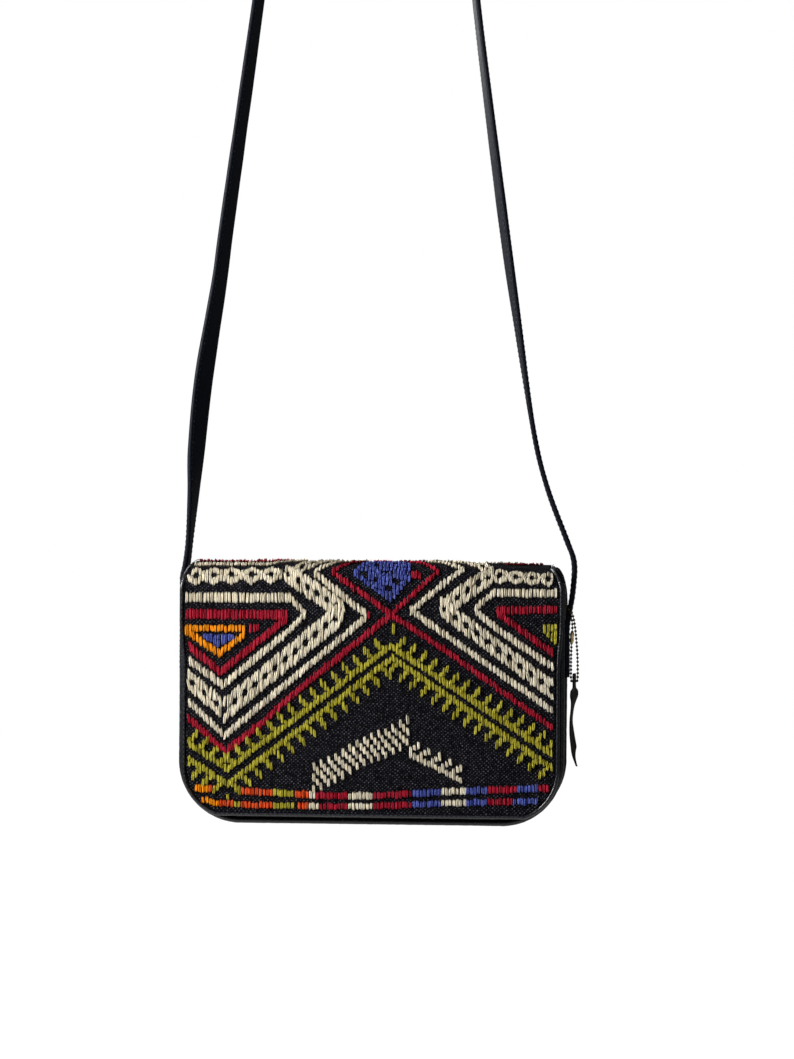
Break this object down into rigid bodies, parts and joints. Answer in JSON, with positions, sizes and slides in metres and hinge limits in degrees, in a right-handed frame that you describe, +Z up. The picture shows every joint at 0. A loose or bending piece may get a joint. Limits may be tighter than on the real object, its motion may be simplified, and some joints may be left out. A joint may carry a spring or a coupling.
{
  "type": "kilim shoulder bag",
  "caption": "Boxed black leather shoulder bag with a woven wool kilim flap, a long flat strap and a leather fob on a ball chain.",
  "frame": {"origin": "middle of the bag's flat underside", "axes": "+Z up, the flap's front faces -Y, +X to the right seen from the front"},
  "size_m": [0.2585, 0.0562, 0.6975],
  "materials": {
    "black_leather": "smooth black leather, low sheen",
    "strap_leather": "folded black strap leather, semi gloss on the edges",
    "flap_leather": "plain dark flesh-side leather",
    "tag_leather": "soft dark brown-black leather, matt",
    "lining_cloth": "plain woven dark cotton, matt",
    "kilim": "black wool plain weave with cream, crimson, green, orange and blue pattern yarns, matt",
    "brass": "plain brass",
    "dark_brass": "darkened brass balls with warm glints",
    "plated_steel": "thin plated sheet"
  },
  "bodies": {
    "bag": {"front_panel": "black_leather", "back_panel": "black_leather", "gusset": "black_leather", "front_piping": "black_leather", "back_piping": "black_leather", "lining": "lining_cloth", "hinge_welt": "black_leather", "snap_socket": "brass", "snap_socket_washer": "plated_steel", "strap": "strap_leather"},
    "flap": {"flap_kilim": "kilim", "flap_lining": "flap_leather", "flap_binding": "black_leather", "snap_stud": "brass", "snap_stud_washer": "plated_steel"},
    "chain": {"tag_chain": "dark_brass", "chain_clasp": "brass"},
    "tag": {"hang_tag": "tag_leather"}
  },
  "joints": [
    {"name": "flap_hinge", "type": "hinge", "parent": "bag", "child": "flap", "pos_m": [0, 0.0221, 0.16545], "axis": [-1, 0, 0], "range_deg": [0, 45]},
    {"name": "chain_swing", "type": "hinge", "parent": "bag", "child": "chain", "pos_m": [0.1239, 0, 0.1405], "axis": [0, -1, 0], "range_deg": [0, 90]},
    {"name": "tag_swing", "type": "hinge", "parent": "chain", "child": "tag", "pos_m": [0.1294, 0, 0.091], "axis": [1, 0, 0], "range_deg": [-90, 90]}
  ]
}
